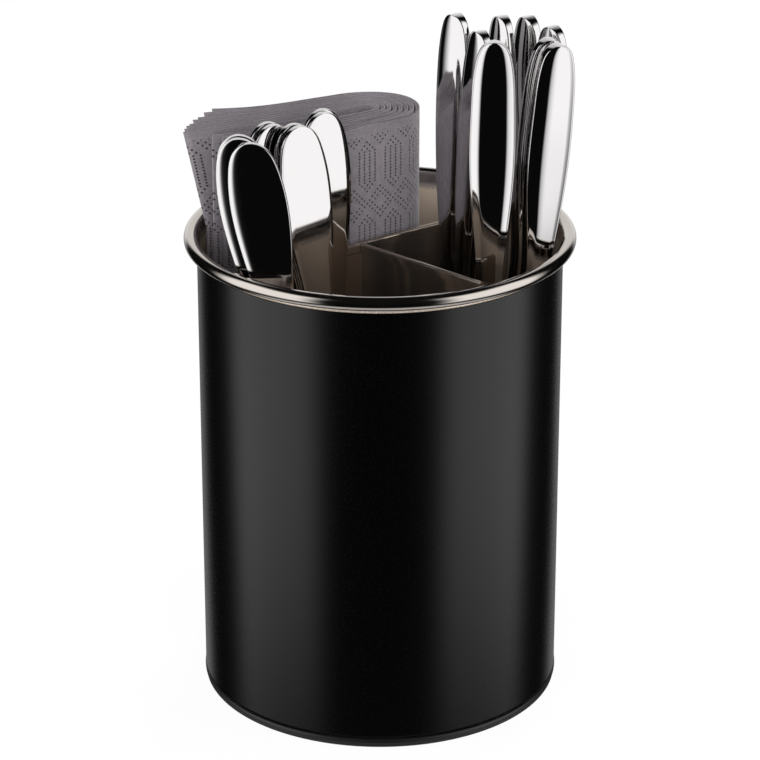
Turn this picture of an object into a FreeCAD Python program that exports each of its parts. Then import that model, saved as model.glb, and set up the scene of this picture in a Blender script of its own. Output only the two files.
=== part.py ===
"""Cutlery dispenser: a coated steel can with a rolled rim, a lift-out divider and its stock.

Millimetres, +Z up. The origin is on the can's axis, in the plane of the table.
+X runs along the divider's long wall and +Y points into the napkin compartment.
"""
import FreeCAD
import Part
import math
import os

os.makedirs("parts", exist_ok=True)

# The can
can_inner_radius = 59.0
can_sheet = 0.5
sleeve_sheet = 0.5
rim_radius = 61.9
rim_height = 157.8
bead_radius = 2.3
neck_height = 154.0
curl_end_angle = -118.0
sleeve_rim_gap = 0.3

# The base
pad_height = 1.3
pad_radius = 59.9
pad_width = 9.0
foot_radius = 60.2
foot_width = 8.2
foot_height = 1.6
shadow_gap = 0.9
foot_upstand = 3.1
upstand_width = 1.8
base_sheet = 0.8
base_fit_gap = 0.1

# The divider
divider_sheet = 0.8
divider_top = 154.0
divider_offset = 6.6
divider_wall_gap = 0.9
hem_height = 3.0
junction_x = -3.3
cross_wall_angle = -79.8
flange_length = 9.0
hem_stop = 12.0
corner_radius = 8.0

# The napkins
napkin_count = 8
napkin_height = 185.0
napkin_thickness = 1.7
napkin_gap = 0.2
fold_centre_x = 15.0
fold_centre_y = 26.7
fold_radius = 16.7
front_leaf_end = -42.0
front_leaf_spread = 2.9
back_leaf_spread = 8.4
napkin_wall_gap = 1.0

# The forks
fork_length = 196.5
fork_head_width = 24.0
fork_head_length = 62.0
fork_handle_width = 18.6
fork_handle_length = 95.0
fork_neck_width = 6.4
fork_neck_foot = 80.0
fork_sheet = 2.4
fork_rise = 3.0
tine_count = 4
tine_length = 46.0
tine_slot = 2.6

# Shapes of the fork's two ends: shares of that end's length, counted from the tip of the
# head or from the end of the handle, and shares of its half width
fork_head_shape = [(0, 0.93), (0.5, 1.0), (0.76, 0.97), (1.03, 0.55)]
fork_handle_shape = [(0.76, 0.42), (0.48, 0.73), (0.23, 1.0), (0.095, 0.87), (0.02, 0.52)]

# The fork seen from the side: shares of its length, of its rise and of its sheet
fork_profile = [
    (0, 1.8, 0.5), (0.12, 0.4, 0.7), (0.25, 0, 0.85), (0.36, 0.55, 1.15),
    (0.48, 1.0, 1.15), (0.65, 0.8, 1.0), (0.82, 0.25, 1.0), (1.0, -0.5, 0.85),
]

# The knives
knife_length = 222.0
knife_handle_length = 84.0
knife_handle_width = 14.8
knife_handle_thickness = 6.2
knife_neck_width = 8.6
knife_blade_width = 18.0
knife_blade_thickness = 1.8
knife_bolster_length = 16.0
knife_crown = 1.4

# Shapes of the knife's blade and handle, given as the fork's are
knife_blade_shape = [(0, 0.25), (0.06, 0.7), (0.23, 1.0), (0.55, 1.0), (0.81, 0.8)]
knife_handle_shape = [(0.64, 0.87), (0.43, 1.0), (0.24, 0.96), (0.083, 0.8), (0.012, 0.42)]

# Clearance under what stands on the floor of the can
floor_gap = 0.3

# Where the cutlery stands. Each group is the place of its front piece (foot x and y, top end
# x and y, and the direction its face looks in) and how far each piece of the group lies
# behind and beside that place.
fork_groups = [
    ((-32.4, -30.5, -57.7, -8.0, -139.3), [(0.0, 0.0), (3.4, 4.8), (6.8, 5.6)]),
    ((-22.6, -13.5, -36.3, -6.5, -90.0), [(0.0, 0.0), (3.0, 0.0)]),
    ((-32.3, -6.5, -42.2, -0.5, -91.0), [(0.0, 0.0), (3.0, 0.0)]),
    ((-19.1, 1.2, -22.3, -0.7, -92.0), [(0.0, 0.0), (3.0, -1.6)]),
]
knife_groups = [
    ((20.4, -8.2, 26.8, -5.2, -177.3), [(0.0, 0.0)]),
    ((16.3, -12.6, 21.6, -24.4, -185.5), [(0.0, 0.0)]),
    ((33.2, -20.0, 37.1, -15.9, -186.7), [(0.0, 0.0)]),
    ((12.4, -39.6, 17.9, -36.1, -129.2), [(0.0, 0.0)]),
    ((55.2, -2.6, 44.9, -20.0, -183.1), [(0.0, 0.0)]),
    ((48.3, -21.0, 43.3, -34.3, -178.4), [(0.0, 0.0)]),
    ((23.9, -34.5, 32.7, -49.5, -102.3), [(0.0, 0.0), (6.8, -0.4)]),
]

origin = FreeCAD.Vector(0, 0, 0)
up = FreeCAD.Vector(0, 0, 1)


def point(x, y, z=0.0):
    """A point or direction in the part's frame."""
    return FreeCAD.Vector(x, y, z)


def save(name, shape):
    """Write one sub-part as its own STEP file."""
    shape.exportStep("parts/" + name + ".step")


def closed_face(edges):
    """The face inside edges that meet end to end."""
    return Part.Face(Part.Wire(Part.__sortEdges__(edges)))


def polygon_edges(points):
    """Straight edges from point to point."""
    return [Part.LineSegment(a, b).toShape() for a, b in zip(points, points[1:])]


def polygon_face(points):
    """The face inside a closed polygon."""
    return closed_face(polygon_edges(points + [points[0]]))


def turned(face):
    """A full turn of a face about the can's axis."""
    return face.revolve(origin, up, 360)


def turned_polygon(corners):
    """A ring from its corners, each a radius and a height."""
    return turned(polygon_face([point(r, 0, z) for r, z in corners]))


def smooth_edge(points):
    """One smooth curve through the points."""
    curve = Part.BSplineCurve()
    curve.interpolate(points)
    return curve.toShape()


# Heights that follow from the stack of ring, foot, gap and base
foot_top = pad_height + foot_height
wall_bottom = foot_top + shadow_gap
base_underside = foot_top + foot_upstand
floor_height = base_underside + base_sheet
sleeve_top = neck_height - sleeve_rim_gap
can_outer_radius = can_inner_radius + can_sheet
body_radius = can_outer_radius + sleeve_sheet
stand_height = floor_height + floor_gap


# The can: inner can with its rolled rim, and the coated sleeve round it


def inner_can():
    """A tube whose top flares a little and curls outwards into a hollow bead."""
    middle_radius = can_inner_radius + can_sheet / 2
    curl_radius = bead_radius - can_sheet / 2
    across = rim_radius - middle_radius
    rise = rim_height - neck_height
    distance = math.hypot(across, rise)
    lean = math.atan2(rise, across) + math.asin(curl_radius / distance)
    start = math.degrees(lean) + 90
    middle = (start + curl_end_angle) / 2

    def on_curl(angle, radius):
        a = math.radians(angle)
        return point(rim_radius + radius * math.cos(a), 0, rim_height + radius * math.sin(a))

    inside = bead_radius - can_sheet
    offset = can_sheet / 2 * math.tan((math.pi / 2 - lean) / 2)
    foot_in = point(can_inner_radius, 0, wall_bottom)
    foot_out = point(can_outer_radius, 0, wall_bottom)
    neck_in = point(can_inner_radius, 0, neck_height + offset)
    neck_out = point(can_outer_radius, 0, neck_height - offset)
    outer = [on_curl(a, bead_radius) for a in (start, middle, curl_end_angle)]
    inner = [on_curl(a, inside) for a in (start, middle, curl_end_angle)]
    edges = polygon_edges([inner[0], neck_out, foot_out, foot_in, neck_in, outer[0]])
    edges += [Part.Arc(*outer).toShape(), Part.Arc(*inner).toShape()]
    edges += polygon_edges([outer[2], inner[2]])
    return turned(closed_face(edges))


def outer_sleeve():
    """The coated sheet that wraps the can from the foot to the rolled rim."""
    return turned_polygon([
        (can_outer_radius, wall_bottom), (body_radius, wall_bottom),
        (body_radius, sleeve_top), (can_outer_radius, sleeve_top),
    ])


# The base: pressed floor, plastic foot and the rubber ring under it


def base_plate():
    """A pressed disc with its edge turned down inside the can."""
    radius = can_inner_radius - base_fit_gap
    skirt = radius - base_sheet
    return turned_polygon([
        (0, base_underside), (skirt, base_underside), (skirt, wall_bottom),
        (radius, wall_bottom), (radius, floor_height), (0, floor_height),
    ])


def foot_ring():
    """The plastic ring that shows below the can, with an upstand under the base plate."""
    upstand_outer = can_inner_radius - 2 * base_fit_gap - base_sheet
    upstand_inner = upstand_outer - upstand_width
    inner = foot_radius - foot_width
    return turned_polygon([
        (inner, pad_height), (foot_radius, pad_height), (foot_radius, foot_top),
        (upstand_outer, foot_top), (upstand_outer, base_underside),
        (upstand_inner, base_underside), (upstand_inner, foot_top), (inner, foot_top),
    ])


def anti_slip_ring():
    """The rubber ring that the can stands on, with its lower outer edge eased."""
    ease = pad_height / 3
    return turned_polygon([
        (pad_radius - pad_width, 0), (pad_radius - ease, 0), (pad_radius, ease),
        (pad_radius, pad_height), (pad_radius - pad_width, pad_height),
    ])


# The divider: two sheets with hemmed top edges


def chord_half(y):
    """Half the free width of the can at a distance y from its axis."""
    return math.sqrt((can_inner_radius - divider_wall_gap) ** 2 - y ** 2)


long_wall_front = divider_offset - divider_sheet / 2
long_wall_back = divider_offset + divider_sheet / 2
hem_front = long_wall_front - divider_sheet


def hemmed_section(front, back, hem, place):
    """Section of a wall whose top is folded over towards the front.

    place turns a distance across the wall and a height into a point.
    """
    fold = (back - hem) / 2
    arc_foot = divider_top - abs(fold)
    under_hem = divider_top - hem_height
    edges = polygon_edges([
        place(hem, arc_foot), place(hem, under_hem), place(front, under_hem),
        place(front, floor_height), place(back, floor_height), place(back, arc_foot),
    ])
    crown = place((back + hem) / 2, divider_top)
    edges.append(Part.Arc(place(back, arc_foot), crown, place(hem, arc_foot)).toShape())
    return closed_face(edges)


def divider_long_wall():
    """The wall between the napkins and the cutlery, a chord of the can."""
    half = chord_half(long_wall_back)
    section = hemmed_section(long_wall_front, long_wall_back, hem_front,
                             lambda y, z: point(-half, y, z))
    return section.extrude(point(2 * half, 0, 0))


def cross_wall_length():
    """Distance from the long wall to the can along the cross wall."""
    angle = math.radians(cross_wall_angle)
    along = junction_x * math.cos(angle) + hem_front * math.sin(angle)
    off = junction_x ** 2 + hem_front ** 2
    reach = can_inner_radius - divider_wall_gap
    return -along + math.sqrt(along ** 2 - off + reach ** 2)


def divider_cross_wall():
    """The wall between forks and knives, spot-welded to the long wall by a bent flange."""
    length = cross_wall_length()
    hem_length = length - hem_stop
    corner = divider_top - corner_radius
    diagonal = corner_radius * math.sqrt(0.5)
    crown = point(length - corner_radius + diagonal, 0, corner + diagonal)
    edges = polygon_edges([
        point(length - corner_radius, 0, divider_top), point(0, 0, divider_top),
        point(0, 0, floor_height), point(length, 0, floor_height), point(length, 0, corner),
    ])
    edges.append(Part.Arc(point(length, 0, corner), crown,
                          point(length - corner_radius, 0, divider_top)).toShape())
    web = closed_face(edges).extrude(point(0, divider_sheet, 0))
    hem_foot = divider_top - hem_height
    hem = Part.makeBox(hem_length, divider_sheet, hem_height,
                       point(0, -divider_sheet, hem_foot))
    wall = web.fuse(hem)
    wall.rotate(origin, up, cross_wall_angle)
    corner_rise = divider_sheet * math.cos(math.radians(cross_wall_angle))
    wall.translate(point(junction_x, hem_front - corner_rise, 0))
    flange_height = hem_foot - floor_gap - floor_height
    flange = Part.makeBox(flange_length + divider_sheet / 2, divider_sheet, flange_height,
                          point(junction_x - flange_length, hem_front, floor_height))
    bend = Part.makeCylinder(divider_sheet * 0.6, flange_height,
                             point(junction_x + divider_sheet / 2, hem_front, floor_height))
    return wall.fuse([flange, bend]).removeSplitter()


# The napkins: each is bent double, so the stack nests round one fold


def tangent_arc(start, end, side):
    """Centre height and radius of the arc that leaves start along -X and reaches end."""
    dx = end.x - start.x
    dy = end.y - start.y
    radius = (dx * dx + dy * dy) / (2 * dy)
    return start.y + side * radius, radius


def leaf_edges(y_start, end, offset):
    """One side of a leaf: an arc that leaves the fold tangentially towards its open end."""
    start = point(fold_centre_x, y_start)
    centre_y, radius = tangent_arc(start, end, 1)
    reach = math.atan2(fold_centre_x - end.x, centre_y - end.y)
    side = radius + offset

    def on_leaf(angle):
        return point(fold_centre_x - side * math.sin(angle), centre_y - side * math.cos(angle))

    points = [on_leaf(0), on_leaf(reach / 2), on_leaf(reach)]
    return Part.Arc(*points).toShape(), points[2]


def napkin(index):
    """A quarter-folded napkin bent into a U, with both open ends towards -X."""
    pitch = napkin_thickness + napkin_gap
    radius = fold_radius - index * pitch
    y_front = fold_centre_y - radius
    y_back = fold_centre_y + radius
    front_end = point(front_leaf_end, y_front + 0.5 + index * front_leaf_spread / 2)
    y_end = y_back + back_leaf_spread
    wall = can_inner_radius - napkin_wall_gap - napkin_thickness / 2
    back_end = point(-math.sqrt(wall ** 2 - y_end ** 2), y_end)
    half = napkin_thickness / 2
    edges = []
    ends = {}
    for side in (half, -half):
        front, front_tip = leaf_edges(y_front, front_end, side)
        back, back_tip = leaf_edges(y_back, back_end, -side)
        fold = radius + side
        bend = Part.Arc(point(fold_centre_x, fold_centre_y - fold),
                        point(fold_centre_x + fold, fold_centre_y),
                        point(fold_centre_x, fold_centre_y + fold)).toShape()
        edges += [front, bend, back]
        ends[side] = (front_tip, back_tip)
    edges += polygon_edges([ends[half][0], ends[-half][0]])
    edges += polygon_edges([ends[half][1], ends[-half][1]])
    leaf = closed_face(edges).extrude(point(0, 0, napkin_height))
    leaf.translate(point(0, 0, floor_height))
    return leaf


# Cutlery is drawn upright: the length along +Z from the end that stands on the floor,
# the width along X and the face towards +Y.


def outline_solid(right_side, depth):
    """Solid seen from the front: a smooth outline that is the same left and right."""
    left_side = [point(-p.x, 0, p.z) for p in reversed(right_side[:-1])]
    curve = smooth_edge(right_side + left_side)
    foot = polygon_edges([left_side[-1], right_side[0]])
    return closed_face([curve] + foot).extrude(point(0, 2 * depth, 0))


def profile_solid(stations, width):
    """Solid seen from the side: a bent strip from heights, middles and thicknesses."""
    face_side = smooth_edge([point(0, y + t / 2, z) for z, y, t in stations])
    back_side = smooth_edge([point(0, y - t / 2, z) for z, y, t in stations])
    ends = [(z, y, t) for z, y, t in (stations[0], stations[-1])]
    caps = [Part.LineSegment(point(0, y + t / 2, z), point(0, y - t / 2, z)).toShape()
            for z, y, t in ends]
    strip = closed_face([face_side, back_side] + caps).extrude(point(2 * width, 0, 0))
    strip.translate(point(-width, 0, 0))
    return strip


def end_outline(shape, length, half_width, start=0.0, direction=1):
    """Points along one end of a piece, from its shape in shares of a length and a width."""
    return [point(half_width * across, 0, start + direction * length * along)
            for along, across in shape]


def outline_plate(side, depth):
    """Solid seen from the front, centred on the plane Y = 0."""
    plate = outline_solid(side, depth)
    plate.translate(point(0, -depth, 0))
    return plate


def fork():
    """A table fork with a broad pear-shaped handle end."""
    neck = fork_neck_width / 2
    side = end_outline(fork_head_shape, fork_head_length, fork_head_width / 2)
    side += [point(neck * 1.15, 0, fork_neck_foot),
             point(neck, 0, fork_length - fork_handle_length)]
    side += end_outline(fork_handle_shape, fork_handle_length, fork_handle_width / 2,
                        fork_length, -1)
    side.append(point(0, 0, fork_length))
    depth = 3 * fork_rise
    strip = profile_solid([(along * fork_length, rise * fork_rise, thick * fork_sheet)
                           for along, rise, thick in fork_profile], fork_head_width)
    piece = outline_plate(side, depth).common(strip)
    pitch = (fork_head_width + tine_slot) / tine_count
    for number in range(1, tine_count):
        x = number * pitch - (fork_head_width + tine_slot) / 2
        slot = Part.makeBox(tine_slot, 2 * depth, 2 * tine_length,
                            point(x - tine_slot / 2, -depth, -tine_length))
        end = Part.makeCylinder(tine_slot / 2, 2 * depth, point(x, -depth, tine_length),
                                point(0, 1, 0))
        piece = piece.cut(slot.fuse(end))
    return piece


def crowned_bar(width, thickness, crown, length):
    """A bar along +Z whose two faces bulge by the crown."""
    radius = ((width / 2) ** 2 + crown ** 2) / (2 * crown)
    front = Part.makeCylinder(radius, length, point(0, thickness / 2 - radius, 0))
    back = Part.makeCylinder(radius, length, point(0, radius - thickness / 2, 0))
    return front.common(back)


def knife():
    """A solid table knife: a leaf-shaped crowned handle that runs into a flat blade."""
    blade_length = knife_length - knife_handle_length
    side = end_outline(knife_blade_shape, blade_length, knife_blade_width / 2)
    side.append(point(knife_neck_width / 2, 0, blade_length))
    side += end_outline(knife_handle_shape, knife_handle_length, knife_handle_width / 2,
                        knife_length, -1)
    side.append(point(0, 0, knife_length))
    thick = knife_handle_thickness
    thin = knife_blade_thickness
    bolster = knife_bolster_length / 2
    strip = profile_solid([
        (0, 0, thin * 0.8), (blade_length / 2, 0, thin), (blade_length - bolster, 0, thin * 1.1),
        (blade_length + bolster, 0, thick * 0.6),
        (knife_length - knife_handle_length * 0.57, 0, thick),
        (knife_length - knife_handle_length * 0.24, 0, thick * 0.97),
        (knife_length, 0, thick * 0.6),
    ], knife_blade_width)
    bar = crowned_bar(knife_handle_width, thick, knife_crown, knife_length)
    return outline_plate(side, thick).common(strip).common(bar)


def stood_in_can(piece, length, place, behind=0.0, aside=0.0):
    """Lean a piece of cutlery from its foot on the floor to where its top end lies.

    place holds the foot's x and y, the top end's x and y, and the direction that the face
    looks in, in degrees from +X towards +Y. behind and aside move the piece level, away from
    its face and across its width, so that pieces nest one behind another.
    """
    foot_x, foot_y, top_x, top_y, facing = place
    rise = math.sqrt(length ** 2 - (top_x - foot_x) ** 2 - (top_y - foot_y) ** 2)
    axis = point(top_x - foot_x, top_y - foot_y, rise)
    axis.normalize()
    face = point(math.cos(math.radians(facing)), math.sin(math.radians(facing)))
    face = face - axis * face.dot(axis)
    face.normalize()
    width = face.cross(axis)
    away = point(-face.x, -face.y).normalize()
    across = point(width.x, width.y).normalize()
    foot = point(foot_x, foot_y, stand_height) + away * behind + across * aside
    placed = piece.copy()
    placed.Placement = FreeCAD.Placement(FreeCAD.Matrix(
        width.x, face.x, axis.x, foot.x,
        width.y, face.y, axis.y, foot.y,
        width.z, face.z, axis.z, foot.z,
        0, 0, 0, 1))
    lowest = placed.optimalBoundingBox(False, False).ZMin
    placed.translate(up * (stand_height - lowest))
    return placed


def save_cutlery(name, piece, length, groups):
    """Stand every piece of each group in the can and write it under its own number."""
    number = 0
    for place, steps in groups:
        for behind, aside in steps:
            number += 1
            placed = stood_in_can(piece, length, place, behind, aside)
            save("%s_%d" % (name, number), placed)


save("inner_can", inner_can())
save("outer_sleeve", outer_sleeve())
save("base_plate", base_plate())
save("foot_ring", foot_ring())
save("anti_slip_ring", anti_slip_ring())
save("divider_long_wall", divider_long_wall())
save("divider_cross_wall", divider_cross_wall())
for index in range(napkin_count):
    save("napkin_%d" % (index + 1), napkin(index))
save_cutlery("fork", fork(), fork_length, fork_groups)
save_cutlery("knife", knife(), knife_length, knife_groups)
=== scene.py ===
"""Looks of a table-top cutlery dispenser: a coated steel can with a rolled rim, a lift-out
divider, folded napkins, forks and table knives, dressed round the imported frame.

Lengths are written in millimetres and turned to metres where a mesh is made.
"""

from __future__ import annotations

import logging
import math
from dataclasses import dataclass, field
from enum import Enum
from typing import Any, Callable

import bpy
import numpy as np
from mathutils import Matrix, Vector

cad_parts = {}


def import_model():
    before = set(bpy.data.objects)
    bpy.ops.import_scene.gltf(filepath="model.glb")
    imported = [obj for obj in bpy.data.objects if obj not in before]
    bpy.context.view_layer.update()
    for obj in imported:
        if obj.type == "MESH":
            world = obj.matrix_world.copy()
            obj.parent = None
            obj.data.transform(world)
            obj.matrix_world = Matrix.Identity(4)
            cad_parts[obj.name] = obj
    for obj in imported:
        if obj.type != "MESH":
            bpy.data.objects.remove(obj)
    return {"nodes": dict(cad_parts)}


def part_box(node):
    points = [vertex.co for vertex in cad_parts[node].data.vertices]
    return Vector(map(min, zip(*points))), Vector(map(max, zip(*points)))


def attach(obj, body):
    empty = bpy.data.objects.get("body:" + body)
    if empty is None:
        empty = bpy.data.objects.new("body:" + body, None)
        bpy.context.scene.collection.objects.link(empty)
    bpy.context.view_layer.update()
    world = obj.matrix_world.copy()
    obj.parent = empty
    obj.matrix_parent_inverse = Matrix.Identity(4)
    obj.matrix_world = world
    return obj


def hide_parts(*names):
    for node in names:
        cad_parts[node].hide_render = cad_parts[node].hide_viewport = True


LOG = logging.getLogger("cutlery_dispenser")
MM = 0.001
SHARP_EDGE = math.radians(40.0)
FACE_STEPS = 33
CORNER_STEPS = 4
FALL_STEPS = 400
FALL_LIMIT = 0.6
CORNER_LIMIT = 0.3
LEAST_EDGE = 0.05
END_SLICE = 0.4


# Numbers, curves and meshes


def linear(hex_colour: str) -> tuple[float, float, float, float]:
    """Turn an sRGB hex colour into linear red, green, blue and a full alpha.

    Args:
        hex_colour: the colour as six hex digits after a hash.

    Returns:
        Four numbers from 0 to 1.
    """
    code = hex_colour.lstrip("#")
    srgb = np.array([int(code[i:i + 2], 16) for i in (0, 2, 4)]) / 255.0
    rgb = np.where(srgb <= 0.04045, srgb / 12.92, ((srgb + 0.055) / 1.055) ** 2.4)
    return (float(rgb[0]), float(rgb[1]), float(rgb[2]), 1.0)


def smooth_step(low: float, high: float, value: np.ndarray) -> np.ndarray:
    """Rise from 0 at low to 1 at high as 3t^2 - 2t^3.

    Args:
        low: where the rise starts.
        high: where it ends.
        value: the places to read it at.

    Returns:
        One number from 0 to 1 for each place.
    """
    share = np.clip((value - low) / (high - low), 0.0, 1.0)
    return share * share * (3.0 - 2.0 * share)


def spline(places: np.ndarray, values: np.ndarray, at: np.ndarray) -> np.ndarray:
    """Natural cubic curve through values: piecewise cubics with matching slope and bend.

    Args:
        places: rising parameters of the knots.
        values: one row of values for each knot.
        at: the parameters to read the curve at.

    Returns:
        One row of values for each parameter in at.
    """
    count = len(places)
    step = np.diff(places)
    system = np.eye(count)
    inner = np.arange(1, count - 1)
    system[inner, inner - 1] = step[:-1]
    system[inner, inner] = 2.0 * (step[:-1] + step[1:])
    system[inner, inner + 1] = step[1:]
    slope = np.diff(values, axis=0) / step[:, None]
    right = np.zeros_like(values)
    right[1:-1] = 6.0 * np.diff(slope, axis=0)
    bend = np.linalg.solve(system, right)
    k = np.clip(np.searchsorted(places, at) - 1, 0, count - 2)
    h = step[k][:, None]
    a = (places[k + 1] - at)[:, None] / h
    b = 1.0 - a
    cubic = ((a ** 3 - a) * bend[k] + (b ** 3 - b) * bend[k + 1]) * h ** 2 / 6.0
    return a * values[k] + b * values[k + 1] + cubic


def eased(corners: list[tuple[float, float]], ease: float, steps: int = 4) -> np.ndarray:
    """Closed polygon with rounded corners.

    Each corner C becomes the parabola (1-t)^2 A + 2t(1-t) C + t^2 B, where A and B lie at the
    easing distance from C on its two sides.

    Args:
        corners: the corners in order.
        ease: how far from each corner its rounding starts.
        steps: points in each rounding, less one.

    Returns:
        The rounded outline as rows of two numbers.
    """
    corner = np.array(corners, float)
    before = np.roll(corner, 1, axis=0) - corner
    after = np.roll(corner, -1, axis=0) - corner
    length_before = np.linalg.norm(before, axis=1, keepdims=True)
    length_after = np.linalg.norm(after, axis=1, keepdims=True)
    start = corner + before / length_before * np.minimum(ease, length_before * 0.45)
    end = corner + after / length_after * np.minimum(ease, length_after * 0.45)
    t = np.linspace(0.0, 1.0, steps + 1)[None, :, None]
    curve = (1 - t) ** 2 * start[:, None] + 2 * t * (1 - t) * corner[:, None]
    return (curve + t ** 2 * end[:, None]).reshape(-1, 2)


def grid_faces(rows: int, columns: int, wrap_rows: bool, wrap_columns: bool) -> np.ndarray:
    """Quads between the neighbours of a grid of points.

    Args:
        rows: number of rows.
        columns: number of points in a row.
        wrap_rows: whether the last row joins the first.
        wrap_columns: whether each row closes on itself.

    Returns:
        One row of four point numbers for each quad.
    """
    row = np.arange(rows if wrap_rows else rows - 1)
    column = np.arange(columns if wrap_columns else columns - 1)
    i, j = np.meshgrid(row, column, indexing="ij")
    down = (i + 1) % rows
    across = (j + 1) % columns
    quads = [i * columns + j, i * columns + across, down * columns + across, down * columns + j]
    return np.stack(quads, axis=-1).reshape(-1, 4)


def signed_volume(points: np.ndarray, faces: list[list[int]]) -> float:
    """Volume inside a closed form, negative where its faces point inwards.

    Each face is a fan of triangles, and the volume is the sum of their a . (b x c) / 6.

    Args:
        points: the form's points, as rows of three.
        faces: its faces as lists of point numbers.

    Returns:
        The volume, in the points' unit cubed.
    """
    fans = [(f[0], f[k], f[k + 1]) for f in faces for k in range(1, len(f) - 1)]
    a, b, c = (points[np.array(fans)[:, n]] for n in range(3))
    return float((a * np.cross(b, c)).sum() / 6.0)


@dataclass
class Form:
    """Points and faces of one piece, gathered from closed or open patches, in millimetres."""

    points: list[np.ndarray] = field(default_factory=list)
    faces: list[list[int]] = field(default_factory=list)
    uv: list[np.ndarray] = field(default_factory=list)

    def add(self, points: np.ndarray, faces: list[list[int]], uv: np.ndarray | None = None,
            closed: bool = True) -> None:
        """Add a patch, turned so that its faces point outwards.

        Args:
            points: the patch's points, as rows of three.
            faces: its faces as lists of point numbers.
            uv: a place on the piece's pattern for each point.
            closed: whether the patch encloses a volume.
        """
        if closed and signed_volume(points, faces) < 0:
            faces = [face[::-1] for face in faces]
        start = sum(len(p) for p in self.points)
        self.points.append(points)
        self.faces += [[n + start for n in face] for face in faces]
        if uv is not None:
            self.uv.append(uv)

    def add_tube(self, rings: np.ndarray) -> None:
        """Add a closed form from a stack of rings, with a face across each end.

        Args:
            rings: points by ring, by place in the ring, by axis.
        """
        rows, columns, _ = rings.shape
        faces = grid_faces(rows, columns, False, True).tolist()
        faces.append(list(range(columns))[::-1])
        faces.append([(rows - 1) * columns + k for k in range(columns)])
        self.add(rings.reshape(-1, 3), faces)

    def build(self, name: str) -> bpy.types.Object:
        """Make the object, smooth shaded, at the origin of the frame.

        Args:
            name: the object's name.

        Returns:
            The new object.
        """
        mesh = bpy.data.meshes.new(name)
        mesh.from_pydata((np.concatenate(self.points) * MM).tolist(), [], self.faces)
        if self.uv:
            layer = mesh.uv_layers.new(name="pattern_mm")
            corner = np.zeros(len(mesh.loops), np.int32)
            mesh.loops.foreach_get("vertex_index", corner)
            layer.data.foreach_set("uv", np.concatenate(self.uv)[corner].ravel())
        mesh.polygons.foreach_set("use_smooth", np.ones(len(mesh.polygons), bool))
        mesh.update()
        made = bpy.data.objects.new(name, mesh)
        bpy.context.scene.collection.objects.link(made)
        return made


def turned(outline: np.ndarray, segments: int) -> Form:
    """Ring from an outline of radius and height, turned once about the can's axis.

    Args:
        outline: closed loop of radius and height.
        segments: steps in a full turn.

    Returns:
        The closed ring.
    """
    angle = np.linspace(0.0, 2.0 * np.pi, segments, endpoint=False)
    radius = outline[:, 0][:, None]
    height = np.broadcast_to(outline[:, 1][:, None], (len(outline), segments))
    points = np.stack([radius * np.cos(angle), radius * np.sin(angle), height], axis=-1)
    form = Form()
    form.add(points.reshape(-1, 3), grid_faces(len(outline), segments, True, True).tolist())
    return form


def prism(outline: np.ndarray, place: Callable[[np.ndarray, float], np.ndarray],
          near: float, far: float) -> np.ndarray:
    """Rings of a straight bar with a constant outline.

    Args:
        outline: closed loop of two numbers a point.
        place: turns the outline and a distance along the bar into points of the frame.
        near: distance of the first end.
        far: distance of the second end.

    Returns:
        Two rings of points, for Form.add_tube.
    """
    return np.stack([place(outline, near), place(outline, far)])


# Finishes


class Sheen(Enum):
    """How a steel surface was finished, as its roughness."""

    MIRROR = 0.045
    BUFFED = 0.12
    COLD_ROLLED = 0.14
    SATIN = 0.34


def add_node(tree: bpy.types.NodeTree, kind: str, settings: dict[Any, Any] | None = None,
             links: dict[Any, Any] | None = None) -> bpy.types.Node:
    """Add one node with its settings and incoming links.

    Args:
        tree: the node tree it goes into.
        kind: Blender's name for the node.
        settings: properties by name, and input sockets by name or number, with their values.
        links: input sockets by name or number, with the output sockets that feed them.

    Returns:
        The new node.
    """
    made = tree.nodes.new(kind)
    for key, value in (settings or {}).items():
        if isinstance(key, str) and key not in made.inputs:
            setattr(made, key, value)
        else:
            made.inputs[key].default_value = value
    for key, source in (links or {}).items():
        tree.links.new(source, made.inputs[key])
    return made


@dataclass(frozen=True)
class Finish:
    """A surface: its common name, its look under plain light, and the grain that it shows."""

    name: str
    colour: str
    roughness: float
    metallic: float = 0.0
    grain_mm: float = 0.5
    grain_depth_mm: float = 0.004
    stretch: tuple[float, float, float] = (1.0, 1.0, 1.0)
    roughness_spread: float = 0.06
    specular: float = 0.5

    def tree(self) -> tuple[bpy.types.Material, bpy.types.Node, Any]:
        """Start the material with its shader and a grain that varies gloss and relief.

        Returns:
            The material, its shader node and the socket that gives coordinates in millimetres.
        """
        material = bpy.data.materials.new(self.name)
        material.use_nodes = True
        tree = material.node_tree
        tree.nodes.clear()
        shader = add_node(tree, "ShaderNodeBsdfPrincipled", {
            "Base Color": linear(self.colour), "Metallic": self.metallic,
            "Specular IOR Level": self.specular})
        add_node(tree, "ShaderNodeOutputMaterial", links={"Surface": shader.outputs[0]})
        place = add_node(tree, "ShaderNodeTexCoord")
        scaled = add_node(tree, "ShaderNodeMapping", {"Scale": [s / MM for s in self.stretch]},
                          {"Vector": place.outputs["Object"]})
        grain = add_node(tree, "ShaderNodeTexNoise", {
            "Scale": 1.0 / self.grain_mm, "Detail": 3.0, "Roughness": 0.55},
            {"Vector": scaled.outputs[0]})
        spread = self.roughness_spread
        gloss = add_node(tree, "ShaderNodeMapRange", {
            "From Min": 0.3, "From Max": 0.7, "To Min": max(self.roughness - spread, 0.01),
            "To Max": self.roughness + spread}, {"Value": grain.outputs[0]})
        relief = add_node(tree, "ShaderNodeBump", {
            "Strength": 1.0, "Distance": self.grain_depth_mm * MM},
            {"Height": grain.outputs[0]})
        tree.links.new(gloss.outputs[0], shader.inputs["Roughness"])
        tree.links.new(relief.outputs[0], shader.inputs["Normal"])
        return material, shader, scaled.outputs[0]

    def material(self) -> bpy.types.Material:
        """Make the material."""
        return self.tree()[0]


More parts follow.
